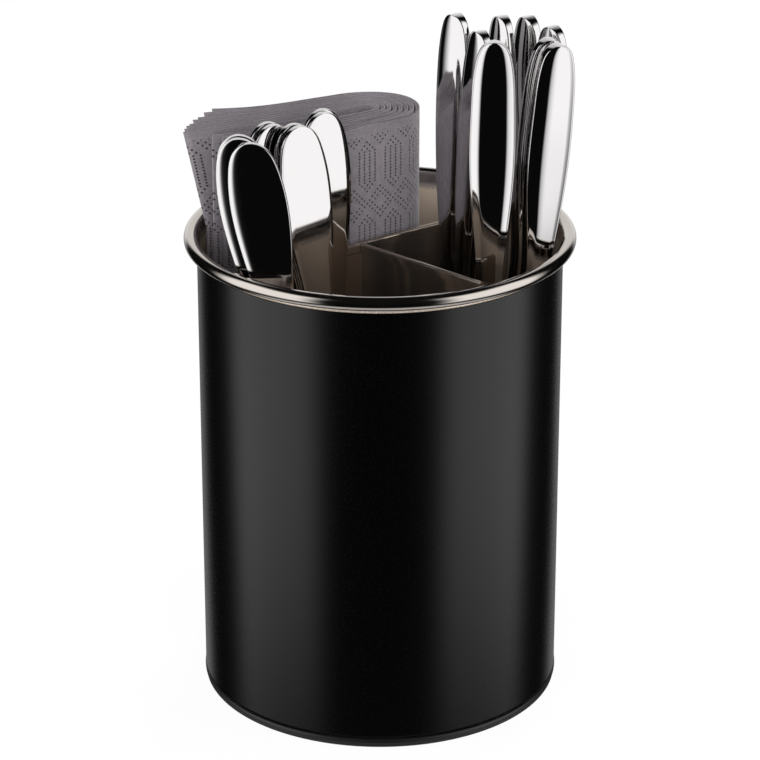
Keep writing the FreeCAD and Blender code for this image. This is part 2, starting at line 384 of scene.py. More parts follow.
@dataclass(frozen=True)
class CanSteel(Finish):
    """Stainless steel can: satin inside, buffed bright on the rolled rim."""

    rim_from_mm: float = 153.0
    rim_to_mm: float = 156.0
    rim_roughness: float = Sheen.BUFFED.value
    rim_colour: str = "#bcb5af"
    wall_metallic: float = 0.2

    def material(self) -> bpy.types.Material:
        """Make the material, with the gloss of the rim mixed in by height.

        Returns:
            The material.
        """
        material, shader, _ = self.tree()
        tree = material.node_tree
        inside = shader.inputs["Roughness"].links[0].from_socket
        place = add_node(tree, "ShaderNodeTexCoord")
        height = add_node(tree, "ShaderNodeSeparateXYZ", links={0: place.outputs["Object"]})
        bright = add_node(tree, "ShaderNodeMapRange", {
            "From Min": self.rim_from_mm * MM, "From Max": self.rim_to_mm * MM},
            {"Value": height.outputs["Z"]})
        polish = add_node(tree, "ShaderNodeMapRange", {
            "To Min": self.wall_metallic, "To Max": 1.0}, {"Value": bright.outputs[0]})
        tree.links.new(polish.outputs[0], shader.inputs["Metallic"])
        colour = add_node(tree, "ShaderNodeMix", {
            "data_type": "RGBA", 6: linear(self.colour), 7: linear(self.rim_colour)},
            {"Factor": bright.outputs[0]})
        tree.links.new(colour.outputs[2], shader.inputs["Base Color"])
        mixed = add_node(tree, "ShaderNodeMix", {"B": self.rim_roughness},
                         {"Factor": bright.outputs[0], "A": inside})
        tree.links.new(mixed.outputs["Result"], shader.inputs["Roughness"])
        return material


@dataclass(frozen=True)
class NapkinTissue(Finish):
    """Dyed tissue, soft and matt, embossed with nested long lozenges of small dots."""

    dot_pitch_mm: float = 1.06
    dot_radius_mm: float = 0.42
    half_repeat: tuple[float, float] = (5.0, 12.0)
    straight_dots: float = 5.0
    ring_dots: float = 6.0
    # painted shade: the dark colour laid into each pressed dot's dimple
    dimple_shade_colour: str = "#2a272a"
    dot_depth_mm: float = 0.3
    top_mm: float = 191.8
    border_mm: tuple[float, float] = (3.4, 3.0)
    clouds_per_mm: float = 0.9
    cloud_colour: str = "#a5a3a6"
    nap: float = 0.25

    def dots(self, tree: bpy.types.NodeTree) -> Any:
        """Mask that is 1 in each embossed dot.

        The pattern's place in millimetres is split into cells of the dot pitch. A cell's two
        numbers fold back and forth over half a repeat. A lozenge's ring is the first number
        plus what the second exceeds the straight sides by, and the first and third of every
        six rings have a dot at their cells' centres. A border below the top edge has none.

        Args:
            tree: the material's node tree.

        Returns:
            The socket with the mask.
        """
        place = add_node(tree, "ShaderNodeUVMap", {"uv_map": "pattern_mm"})
        axes = add_node(tree, "ShaderNodeSeparateXYZ", links={0: place.outputs[0]})
        folded, squares = [], []
        for axis, half in zip(("X", "Y"), self.half_repeat):
            cells = add_node(tree, "ShaderNodeMath", {
                "operation": "DIVIDE", 1: self.dot_pitch_mm}, {0: axes.outputs[axis]})
            nearest = add_node(tree, "ShaderNodeMath", {"operation": "ROUND"},
                               {0: cells.outputs[0]})
            off = add_node(tree, "ShaderNodeMath", {"operation": "SUBTRACT"},
                           {0: cells.outputs[0], 1: nearest.outputs[0]})
            squares.append(add_node(tree, "ShaderNodeMath", {"operation": "MULTIPLY"},
                                    {0: off.outputs[0], 1: off.outputs[0]}))
            folded.append(add_node(tree, "ShaderNodeMath", {
                "operation": "PINGPONG", 1: half}, {0: nearest.outputs[0]}))
        excess = add_node(tree, "ShaderNodeMath", {
            "operation": "SUBTRACT", 1: self.straight_dots}, {0: folded[1].outputs[0]})
        excess = add_node(tree, "ShaderNodeMath", {"operation": "MAXIMUM", 1: 0.0},
                          {0: excess.outputs[0]})
        ring = add_node(tree, "ShaderNodeMath", {"operation": "ADD"},
                        {0: folded[0].outputs[0], 1: excess.outputs[0]})
        beat = add_node(tree, "ShaderNodeMath", {"operation": "FLOORED_MODULO",
                                                 1: self.ring_dots}, {0: ring.outputs[0]})
        beat = add_node(tree, "ShaderNodeMath", {"operation": "SUBTRACT", 1: 2.0},
                        {0: beat.outputs[0]})
        beat = add_node(tree, "ShaderNodeMath", {"operation": "ABSOLUTE"}, {0: beat.outputs[0]})
        chosen = add_node(tree, "ShaderNodeMath", {"operation": "COMPARE", 1: 1.0, 2: 0.4},
                          {0: beat.outputs[0]})
        below = add_node(tree, "ShaderNodeMapRange", {
            "From Min": self.top_mm - self.border_mm[1],
            "From Max": self.top_mm - self.border_mm[0]}, {"Value": axes.outputs["Y"]})
        chosen = add_node(tree, "ShaderNodeMath", {"operation": "MULTIPLY"},
                          {0: chosen.outputs[0], 1: below.outputs[0]})
        squared = add_node(tree, "ShaderNodeMath", {"operation": "ADD"},
                           {0: squares[0].outputs[0], 1: squares[1].outputs[0]})
        radius = self.dot_radius_mm / self.dot_pitch_mm
        round_dot = add_node(tree, "ShaderNodeMapRange", {
            "interpolation_type": "SMOOTHSTEP", "From Min": radius ** 2,
            "From Max": (radius * 0.45) ** 2}, {"Value": squared.outputs[0]})
        return add_node(tree, "ShaderNodeMath", {"operation": "MULTIPLY"},
                        {0: round_dot.outputs[0], 1: chosen.outputs[0]}).outputs[0]

    def material(self) -> bpy.types.Material:
        """Make the material: mottled fibres, with the dots pressed in and painted shade darkening
        each dot's dimple.

        Returns:
            The material.
        """
        material, shader, scaled = self.tree()
        tree = material.node_tree
        mask = self.dots(tree)
        cloud = add_node(tree, "ShaderNodeTexNoise", {
            "Scale": self.clouds_per_mm, "Detail": 5.0, "Roughness": 0.7}, {"Vector": scaled})
        fibres = add_node(tree, "ShaderNodeMix", {
            "data_type": "RGBA", "blend_type": "MULTIPLY", 6: linear(self.colour),
            7: linear(self.cloud_colour)}, {"Factor": cloud.outputs[0]})
        # painted shade: each pressed dot is darkened towards this colour, standing in for the
        # shade in its dimple
        dimple_shaded_tone = add_node(tree, "ShaderNodeMix", {"data_type": "RGBA", 7: linear(self.dimple_shade_colour)},
                        {"Factor": mask, 6: fibres.outputs[2]})
        tree.links.new(dimple_shaded_tone.outputs[2], shader.inputs["Base Color"])
        fine = shader.inputs["Normal"].links[0].from_node
        pressed = add_node(tree, "ShaderNodeBump", {
            "Strength": 1.0, "Distance": self.dot_depth_mm * MM, "invert": True},
            {"Height": mask, "Normal": fine.outputs[0]})
        tree.links.new(pressed.outputs[0], shader.inputs["Normal"])
        shader.inputs["Sheen Weight"].default_value = self.nap
        return material


CAN_STEEL = CanSteel("stainless_steel_can", "#d6c4b2", Sheen.SATIN.value, 1.0, 0.35, 0.0006,
                     (1.0, 1.0, 0.06))
BLACK_COAT = Finish("black_powder_coat", "#020202", 0.26, 0.0, 0.45, 0.0004, (1.0, 1.0, 1.0),
                    0.02, 0.36)
FOOT_PLASTIC = Finish("moulded_abs_black", "#0e0e10", 0.42, 0.0, 0.25, 0.01)
FOOT_RUBBER = Finish("rubber_black", "#161618", 0.7, 0.0, 0.3, 0.02)
DIVIDER_STEEL = Finish("stainless_steel_cold_rolled", "#cdbfb3", Sheen.COLD_ROLLED.value, 0.96,
                       0.3, 0.0002, (0.05, 0.05, 1.0), 0.02)
CUTLERY_STEEL = Finish("stainless_steel_mirror", "#cdcbcb", Sheen.MIRROR.value, 1.0,
                       0.8, 0.0004, (1.0, 1.0, 0.15), 0.015)
TISSUE = NapkinTissue("dyed_tissue", "#908a8f", 0.9, 0.0, 0.35, 0.05,
                      specular=0.2)


def dress(piece: bpy.types.Object, material: bpy.types.Material) -> None:
    """Give a piece one material, in place of any that it had.

    Args:
        piece: the piece.
        material: its finish.
    """
    piece.data.materials.clear()
    piece.data.materials.append(material)


def stand_for(piece: bpy.types.Object, node: str, body: str) -> None:
    """Let a piece ride on a body in the place of a frame node, and report it.

    Args:
        piece: the piece.
        node: the node that it replaces.
        body: the body that it moves with.
    """
    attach(piece, body)
    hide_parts(node)
    LOG.info("%s stands for %s and rides on %s", piece.name, node, body)


# The can, its foot and the divider


@dataclass
class RolledCan:
    """The steel can with its rolled rim, the coated sleeve, and the foot rings."""

    nodes: dict[str, bpy.types.Object]
    sheet: float = 0.5
    bead_radius: float = 2.3
    neck_drop: float = 3.8
    curl_end_deg: float = -118.0
    neck_clear: float = 1.5
    segments: int = 288
    bead_steps: int = 40
    wall_steps: int = 12
    edge_ease: float = 0.22
    foot_ease: float = 0.45
    foot_width: float = 8.2
    foot_thickness: float = 1.6
    upstand_inset: tuple[float, float] = (2.8, 1.0)
    rubber_width: float = 9.0

    def __post_init__(self) -> None:
        """Read the radii and heights of the can from the frame."""
        low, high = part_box("inner_can")
        self.bottom = low.z / MM
        self.bead_centre = (high.x / MM - self.bead_radius, high.z / MM - self.bead_radius)
        self.body_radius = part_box("outer_sleeve")[1].x / MM
        self.inner_radius = self.body_radius - 2 * self.sheet

    def rim_outline(self) -> np.ndarray:
        """Outline of the can's sheet: up the inside, round the bead, and back down outside.

        The flare is the line from the neck that touches the bead's middle circle, and the
        bead is two arcs, half a sheet inside and outside that circle.

        Returns:
            Closed loop of radius and height.
        """
        radius, height = self.bead_centre
        middle = self.inner_radius + self.sheet / 2
        curl = self.bead_radius - self.sheet / 2
        across, rise = radius - middle, self.neck_drop
        lean = math.atan2(rise, across) + math.asin(curl / math.hypot(across, rise))
        turn = np.linspace(lean + math.pi / 2, math.radians(self.curl_end_deg),
                           self.bead_steps)
        ring = np.stack([np.cos(turn), np.sin(turn)], axis=1)
        neck = height - rise
        offset = self.sheet / 2 * math.tan((math.pi / 2 - lean) / 2)
        outer = np.array([radius, height]) + ring * self.bead_radius
        inner = np.array([radius, height]) + ring * (self.bead_radius - self.sheet)
        wall = np.linspace(self.bottom, neck - self.neck_clear, self.wall_steps)
        inside = np.stack([np.full(self.wall_steps, self.inner_radius), wall], axis=1)
        outside = inside[::-1] + [self.sheet, 0.0]
        neck_in = [[self.inner_radius, neck + offset]]
        neck_out = [[self.inner_radius + self.sheet, neck - offset]]
        return np.concatenate([inside, neck_in, outer, inner[::-1], neck_out, outside])

    def build(self) -> None:
        """Build the can and the sleeve."""
        steel = CAN_STEEL.material()
        can = turned(self.rim_outline(), self.segments).build("rolled_can")
        dress(can, steel)
        stand_for(can, "inner_can", "dispenser")
        low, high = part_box("outer_sleeve")
        inner = self.inner_radius + self.sheet
        corners = [(inner, low.z / MM), (self.body_radius, low.z / MM),
                   (self.body_radius, high.z / MM), (inner, high.z / MM)]
        sleeve = turned(eased(corners, self.edge_ease), self.segments).build("coated_sleeve")
        dress(sleeve, BLACK_COAT.material())
        stand_for(sleeve, "outer_sleeve", "dispenser")
        dress(self.nodes["base_plate"], steel)
        LOG.info("base_plate is shown as it is in the frame")
        self.build_foot()

    def build_foot(self) -> None:
        """Build the plastic foot ring and the rubber ring under it."""
        low, high = (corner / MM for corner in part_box("foot_ring"))
        near, far = (self.inner_radius - inset for inset in self.upstand_inset)
        inner = high.x - self.foot_width
        top = low.z + self.foot_thickness
        corners = [(inner, low.z), (high.x, low.z), (high.x, top), (far, top),
                   (far, high.z), (near, high.z), (near, top), (inner, top)]
        foot = turned(eased(corners, self.foot_ease), self.segments).build("plastic_foot")
        dress(foot, FOOT_PLASTIC.material())
        stand_for(foot, "foot_ring", "dispenser")
        low, high = (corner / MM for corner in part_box("anti_slip_ring"))
        inner = high.x - self.rubber_width
        corners = [(inner, 0.0), (high.x, 0.0), (high.x, high.z), (inner, high.z)]
        ring = turned(eased(corners, self.foot_ease), self.segments).build("rubber_ring")
        dress(ring, FOOT_RUBBER.material())
        stand_for(ring, "anti_slip_ring", "dispenser")


@dataclass
class Divider:
    """Two steel sheets with hemmed tops: a chord of the can and a wall that stands off it."""

    sheet: float = 0.8
    hem_height: float = 3.0
    hem_stop: float = 12.0
    corner_radius: float = 8.0
    junction_x: float = -3.3
    cross_angle_deg: float = -79.8
    flange_length: float = 9.0
    flange_overlap: float = 0.5
    flange_drop: float = 0.3
    flange_corner: float = 2.5
    hem_cover: float = 1.0
    hem_step: float = 0.05
    skin: float = 0.02

    def __post_init__(self) -> None:
        """Read the walls' places from the frame."""
        low, high = (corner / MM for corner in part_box("divider_long_wall"))
        self.half_length = high.x
        self.hem_front = low.y
        self.back = high.y
        self.floor = low.z
        self.top = high.z

    def hem_outline(self, hem: float, back: float, foot: float) -> np.ndarray:
        """Section of a wall's folded top, as distance across and height.

        The fold is a half circle over the wall and its hem, and the sheet goes on down to foot.

        Args:
            hem: distance across of the hem's outer face.
            back: distance across of the wall's back face.
            foot: height at which the section ends.

        Returns:
            Closed loop of two numbers a point.
        """
        middle, fold = (hem + back) / 2, (back - hem) / 2
        angle = np.linspace(0.0, np.pi, 14)
        crown = np.stack([middle + fold * np.cos(angle), self.top - fold + fold * np.sin(angle)],
                         axis=1)
        under = self.top - self.hem_height
        tail = [[hem, under], [middle - self.hem_step, under], [middle, under - self.hem_step],
                [middle, foot], [back, foot]]
        return np.concatenate([crown, tail])

    def build(self) -> None:
        """Build both walls in cold-rolled steel."""
        steel = DIVIDER_STEEL.material()
        long_wall = Form()
        outline = self.hem_outline(self.hem_front, self.back, self.floor)
        long_wall.add_tube(prism(outline, self.along_x, -self.half_length, self.half_length))
        walls = [(long_wall, "divider_chord", "divider_long_wall"),
                 (self.cross_wall(), "divider_cross", "divider_cross_wall")]
        for form, name, node in walls:
            piece = form.build(name)
            piece.data.set_sharp_from_angle(angle=SHARP_EDGE)
            dress(piece, steel)
            stand_for(piece, node, "divider")

    def along_x(self, outline: np.ndarray, x: float) -> np.ndarray:
        """Place a section of distance across and height at one x."""
        return np.stack([np.full(len(outline), x), outline[:, 0], outline[:, 1]], axis=1)

    def cross_wall(self) -> Form:
        """Wall that runs from the junction to the can, with its flange.

        The run ends where its line leaves the circle that holds the long wall's ends.

        Returns:
            The plate, its hem and the flange as one piece.
        """
        angle = math.radians(self.cross_angle_deg)
        run = np.array([math.cos(angle), math.sin(angle), 0.0])
        across = np.array([-math.sin(angle), math.cos(angle), 0.0])
        rise = self.sheet * math.cos(angle)
        start = np.array([self.junction_x, self.hem_front - rise, 0.0])
        reach = math.hypot(self.half_length, self.back)
        along = float(start @ run) + rise * math.sin(angle)
        length = -along + math.sqrt(along ** 2 - (self.junction_x ** 2 + self.hem_front ** 2)
                                    + reach ** 2)
        up = np.array([0.0, 0.0, 1.0])

        def on_section(outline: np.ndarray, distance: float) -> np.ndarray:
            """Place distance across and height at one distance along the wall."""
            return (start + distance * run + outline[:, :1] * across + outline[:, 1:] * up)

        def on_face(outline: np.ndarray, distance: float) -> np.ndarray:
            """Place distance along and height at one distance across the wall."""
            return (start + distance * across + outline[:, :1] * run + outline[:, 1:] * up)

        shoulder = self.top - self.hem_height - self.hem_cover
        stop = length - self.hem_stop
        turn = np.linspace(0.0, np.pi / 2, 12)
        corner = self.corner_radius
        bow = np.stack([length - corner + corner * np.cos(turn),
                        self.top - corner + corner * np.sin(turn)], axis=1)
        plate = np.concatenate([[[0.0, self.floor], [length, self.floor]], bow,
                                [[stop, self.top], [stop, shoulder], [0.0, shoulder]]])
        form = Form()
        form.add_tube(prism(plate, on_face, 0.0, self.sheet))
        hem = self.hem_outline(-self.sheet, self.sheet, shoulder)
        form.add_tube(prism(hem, on_section, 0.0, stop))
        flange_top = self.top - self.hem_height - self.flange_drop
        left, right = self.junction_x - self.flange_length, self.junction_x + self.flange_overlap
        tab = eased([(left, self.floor), (right, self.floor), (right, flange_top),
                     (left, flange_top)], self.flange_corner)

        def on_long_wall(outline: np.ndarray, y: float) -> np.ndarray:
            """Place x and height at one y."""
            return np.stack([outline[:, 0], np.full(len(outline), y), outline[:, 1]], axis=1)

        form.add_tube(prism(tab, on_long_wall, self.hem_front,
                            self.hem_front + self.sheet - self.skin))
        return form


# The napkins


@dataclass
class NapkinStack:
    """Napkins folded in four and bent double, nested round one another."""

    count: int = 8
    thickness: float = 1.7
    fold_x: float = 15.0
    can_radius: float = 59.0
    wall_gap: float = 1.0
    front_spread: float = 1.45
    front_step: float = 1.5
    front_inset: tuple[float, float] = (0.1, 0.5)
    ply: float = 0.25
    arms: tuple[float, float] = (0.18, 0.08)
    unfolded: tuple[float, float] = (370.0, 320.0)
    rim_height: float = 157.8
    lean: float = 7.0
    flare: float = 2.6
    flare_least: float = 0.35
    front_flare: float = 0.5
    back_part: tuple[float, float] = (0.45, 0.6)
    ripple_counts: tuple[float, float] = (9.0, 23.0)
    ripple: float = 0.22
    tiers: tuple[float, float] = (0.15, 0.2)
    top_drop: float = 0.45
    loose_part: float = 0.7
    seed: int = 11
    along_steps: int = 72
    upright_steps: int = 12
    fold_steps: int = 7
    arc_steps: int = 200

    def centre_line(self, index: int) -> tuple[np.ndarray, np.ndarray]:
        """Middle of one bent napkin seen from above, from its front end to its back end.

        The bend is a half circle. Each leaf is an arc that leaves it straight and reaches the
        leaf's end, so its radius is (dx^2 + dy^2) / 2dy.

        Args:
            index: 0 for the outermost napkin.

        Returns:
            Points of two numbers at even steps, and the outward direction at each.
        """
        low, high = (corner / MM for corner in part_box(f"napkin_{index + 1}"))
        half = self.thickness / 2
        radius = high.x - half - self.fold_x
        front = low.y + half
        middle = front + radius
        back = middle + radius
        inset_x, inset_y = self.front_inset
        front_end = np.array([low.x + inset_x + (self.count - 1 - index) * self.front_step,
                              front + inset_y + index * self.front_spread])
        back_y = high.y - half
        wall = self.can_radius - self.wall_gap - half
        back_end = np.array([-math.sqrt(wall ** 2 - back_y ** 2), back_y])
        arc = np.linspace(0.0, 1.0, self.arc_steps)[:, None]

        def leaf(y: float, end: np.ndarray) -> np.ndarray:
            """Arc from the bend to the leaf's end.

            Args:
                y: where the leaf leaves the bend.
                end: the leaf's end.

            Returns:
                Points of two numbers.
            """
            dx, dy = end[0] - self.fold_x, end[1] - y
            big = (dx * dx + dy * dy) / (2 * dy)
            angle = arc * math.atan2(-dx, big - dy)
            return np.concatenate([self.fold_x - big * np.sin(angle),
                                   y + big - big * np.cos(angle)], axis=1)

        turn = -np.pi / 2 + np.pi * arc
        bend = np.concatenate([self.fold_x + radius * np.cos(turn),
                               middle + radius * np.sin(turn)], axis=1)
        line = np.concatenate([leaf(front, front_end)[::-1], bend[1:], leaf(back, back_end)[1:]])
        travel = np.concatenate([[0.0], np.cumsum(np.linalg.norm(np.diff(line, axis=0), axis=1))])
        even = np.linspace(0.0, travel[-1], self.along_steps)
        points = np.stack([np.interp(even, travel, line[:, k]) for k in (0, 1)], axis=1)
        tangent = np.gradient(points, even, axis=0)
        outward = np.stack([tangent[:, 1], -tangent[:, 0]], axis=1)
        return points, outward / np.linalg.norm(outward, axis=1, keepdims=True)

    def folded(self, steps: int) -> tuple[np.ndarray, np.ndarray]:
        """One axis of the flat napkin: out along one layer, round the fold, and back.

        Args:
            steps: points along a layer.

        Returns:
            The place along the folded length, from 0 to 1, and the angle of the fold, which is
            0 on the first layer and half a turn on the second.
        """
        out = np.linspace(0.0, 1.0, steps)
        round_fold = np.linspace(0.0, np.pi, self.fold_steps)[1:-1]
        place = np.concatenate([out, np.ones(len(round_fold)), out[::-1]])
        angle = np.concatenate([np.zeros(steps), round_fold, np.full(steps, np.pi)])
        return place, angle

    def loose_top(self, index: int, upright_fold: tuple[np.ndarray, np.ndarray],
                  level_fold: tuple[np.ndarray, np.ndarray]) -> np.ndarray:
        """How far the loose upper edges stand off the even top.

        Two sine waves run along the napkin, each layer has a small step of its own, and both
        fade out towards the fold at the floor.

        Args:
            index: 0 for the outermost napkin.
            upright_fold: places and angles along the napkin.
            level_fold: places and angles down the napkin.

        Returns:
            One height for each point of the flat sheet.
        """
        phase = np.random.default_rng(self.seed + index).uniform(0.0, 2 * np.pi, 2)
        along = upright_fold[0][None, :]
        long, short = self.ripple_counts
        ripples = self.ripple * (np.sin(long * along + phase[0])
                                 + np.sin(short * along + phase[1]))
        tier = (np.sign(np.cos(level_fold[1]))[:, None] * self.tiers[0]
                + np.sign(np.cos(upright_fold[1]))[None, :] * self.tiers[1])
        loose = smooth_step(self.loose_part, 0.0, level_fold[0])[:, None]
        return loose * (ripples + tier) - loose * self.top_drop

    def sheet(self, index: int) -> bpy.types.Object:
        """One napkin as its flat sheet folded twice.

        The first fold is upright, at the front leaf's end, and puts the two layers at short
        arms e to each side. The second fold is level, at the floor, and swings both round an
        axis in the middle on an arm q, so the offset is cos b (q + e cos a). Above the rim the
        free ends open by the flare and lean out along the leaf, both growing with height.

        Args:
            index: 0 for the outermost napkin.

        Returns:
            The napkin, without its thickness of paper.
        """
        line, outward = (row[::-1] for row in self.centre_line(index))
        low, high = (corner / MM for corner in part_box(f"napkin_{index + 1}"))
        place_a, angle_a = self.folded(self.along_steps)
        place_b, angle_b = self.folded(self.upright_steps)
        at = place_a * (self.along_steps - 1)
        knots = np.arange(self.along_steps)
        here = np.stack([np.interp(at, knots, line[:, k]) for k in (0, 1)], axis=1)
        side = np.stack([np.interp(at, knots, outward[:, k]) for k in (0, 1)], axis=1)
        swing, part = (arm * self.thickness for arm in self.arms)
        arm = swing + part * np.cos(angle_a)[None, :]
        bottom = low.z + swing + part
        height = high.z - (high.z - bottom) * place_b[:, None] - arm * np.sin(angle_b)[:, None]
        height = height + self.loose_top(index, (place_a, angle_a), (place_b, angle_b))
        above = np.clip((height - self.rim_height) / (high.z - self.rim_height), 0.0, 1.0)
        share = np.clip(here[:, 0] / line[:, 0].min(), 0.0, 1.0)[None, :]
        is_back = smooth_step(*self.back_part, 1.0 - place_a[None, :])
        lift = above * share ** 1.5
        outer = self.flare_least + (1.0 - self.flare_least) * (1 - index / self.count)
        offset = np.cos(angle_b)[:, None] * arm + lift * (
            self.flare * is_back * outer + self.front_flare * (1 - is_back))
        back_end, front_end = line[0] - line[3], line[-1] - line[-4]
        back_end = back_end / np.linalg.norm(back_end)
        front_end = front_end / np.linalg.norm(front_end)
        shift = lift * is_back * self.lean
        bulge = part * np.sin(angle_a)[None, :] * np.cos(angle_b)[:, None] ** 2
        x, y = (here[:, k][None, :] + side[:, k][None, :] * offset + back_end[k] * shift
                + bulge * front_end[k] for k in (0, 1))
        points = np.stack([x, y, np.broadcast_to(height, x.shape)], axis=-1)
        rows, columns = x.shape
        span = np.linalg.norm(np.diff(line, axis=0), axis=1).sum()
        pattern = np.stack([np.broadcast_to(place_a * span, x.shape),
                            np.broadcast_to(height, x.shape)], axis=-1)
        form = Form()
        form.add(points.reshape(-1, 3), grid_faces(rows, columns, False, False).tolist(),
                 pattern.reshape(-1, 2), closed=False)
        return form.build(f"napkin_tissue_{index + 1}")

    def build(self) -> None:
        """Build the stack and give each sheet its thickness of paper."""
        tissue = TISSUE.material()
        for index in range(self.count):
            piece = self.sheet(index)
            paper = piece.modifiers.new("paper", "SOLIDIFY")
            paper.thickness = self.ply * MM
            paper.offset = 0.0
            dress(piece, tissue)
            stand_for(piece, f"napkin_{index + 1}", "napkins")


# Forks and knives


def surface_axes(node: bpy.types.Object) -> tuple[np.ndarray, np.ndarray, np.ndarray]:
    """Points of a node, and the centre and principal axes of its surface.

    A triangle's spread about the centre is its area over 12, times the sum of its corners'
    outer products and that of their sum.

    Args:
        node: the frame node.

    Returns:
        The points in millimetres, the centre, and the axes as columns, the longest last.
    """
    mesh = node.data
    mesh.calc_loop_triangles()
    points = np.zeros(len(mesh.vertices) * 3)
    mesh.vertices.foreach_get("co", points)
    points = points.reshape(-1, 3) / MM
    corner = np.zeros(len(mesh.loop_triangles) * 3, np.int32)
    mesh.loop_triangles.foreach_get("vertices", corner)
    triangle = points[corner.reshape(-1, 3)]
    a, b, c = triangle[:, 0], triangle[:, 1], triangle[:, 2]
    area = np.linalg.norm(np.cross(b - a, c - a), axis=1) / 2
    centre = (triangle.mean(axis=1) * area[:, None]).sum(axis=0) / area.sum()
    local = triangle - centre
    total = local.sum(axis=1)
    spread = (np.einsum("t,tki,tkj->ij", area, local, local)
              + np.einsum("t,ti,tj->ij", area, total, total)) / 12
    return points, centre, np.linalg.eigh(spread)[1]


@dataclass
class Standing:
    """Where a straight piece of cutlery stands, read from the frame node that it replaces.

    The length and width axes are the first two principal axes of the node's surface.
    """

    foot: np.ndarray
    width: np.ndarray
    face: np.ndarray
    along: np.ndarray

    @classmethod
    def of_node(cls, node: bpy.types.Object, foot_bow: float, end_bow: float,
                front: np.ndarray) -> Standing:
        """Find the axes of a node.

        Args:
            node: the frame node.
            foot_bow: how far the piece's middle lies in front of its length axis at the foot.
            end_bow: the same at the upper end.
            front: horizontal direction that the faces look towards.

        Returns:
            The foot and the axes.
        """
        points, centre, axes = surface_axes(node)
        rough = axes[:, 2] * np.sign(axes[2, 2])
        width = axes[:, 1]
        height = (points - centre) @ rough
        ends = [points[height < height.min() + END_SLICE],
                points[height > height.max() - END_SLICE]]
        low, high = ((e.min(axis=0) + e.max(axis=0)) / 2 for e in ends)
        low = low - width * ((low - centre) @ width)
        high = high - width * ((high - centre) @ width)
        chord = (high - low) / np.linalg.norm(high - low)
        face = np.cross(chord, width)
        if face @ front < 0:
            width, face = -width, -face
        tilt = math.atan2(foot_bow - end_bow, float(np.linalg.norm(high - low)))
        along = chord * math.cos(tilt) + face * math.sin(tilt)
        face = face * math.cos(tilt) - chord * math.sin(tilt)
        return cls(low - face * foot_bow, np.cross(face, along), face, along)

    def place(self, local: np.ndarray) -> np.ndarray:
        """Turn local points (width, face, length) into points of the frame."""
        return (self.foot + local[..., :1] * self.width + local[..., 1:2] * self.face
                + local[..., 2:] * self.along)


def plate_section(half_width: np.ndarray, half_thick: np.ndarray, corner: float,
                  slopes: tuple[float, float], shoulder: tuple[float, float],
                  share: np.ndarray) -> np.ndarray:
    """Closed sections of a bar with crowned faces and rounded corners.

    With x from 0 at the middle to 1 at the edge, a face falls with the slope a x + b s(x),
    where s rises smoothly from 0 to 1 over the shoulder. The fall is the sum of that slope
    over the half width, so it shrinks with the width towards an end. It takes at most six
    tenths of the half thickness, and a quarter turn of the corner radius joins the face to
    the flat edge.

    Args:
        half_width: half the width at each station.
        half_thick: half the thickness at each station.
        corner: the corner radius.
        slopes: the slopes a and b.
        shoulder: where the shoulder starts and where it is full.
        share: how much of the fall each station has, from 0 to 1.

    Returns:
        Sections by station, by point, with the distance across and the distance out.
    """
    across = np.linspace(-1.0, 1.0, FACE_STEPS)
    place = np.linspace(0.0, 1.0, FALL_STEPS + 1)
    slope = slopes[0] * place + slopes[1] * smooth_step(*shoulder, place)
    total = np.concatenate([[0.0], np.cumsum((slope[1:] + slope[:-1]) / 2) / FALL_STEPS])
    quarter = np.linspace(0.0, np.pi / 2, CORNER_STEPS + 1)[1:]
    round_in = np.minimum(corner, np.minimum(half_width, half_thick) * CORNER_LIMIT)[:, None]
    wide, thick = half_width[:, None], half_thick[:, None]
    flat = wide - round_in
    depth = np.minimum(flat * total[-1], FALL_LIMIT * thick) * share[:, None]
    face_x = across * flat
    face_y = thick - depth * np.interp(np.abs(across), place, total / total[-1])
    bow_x = flat + round_in * np.sin(quarter)
    bow_y = np.maximum(thick - depth - round_in + round_in * np.cos(quarter), LEAST_EDGE * thick)
    x = np.concatenate([face_x, bow_x, bow_x[:, ::-1], face_x[:, ::-1], -bow_x,
                        -bow_x[:, ::-1]], axis=1)
    y = np.concatenate([face_y, bow_y, -bow_y[:, ::-1], -face_y[:, ::-1], -bow_y,
                        bow_y[:, ::-1]], axis=1)
    return np.stack([x, y], axis=-1)


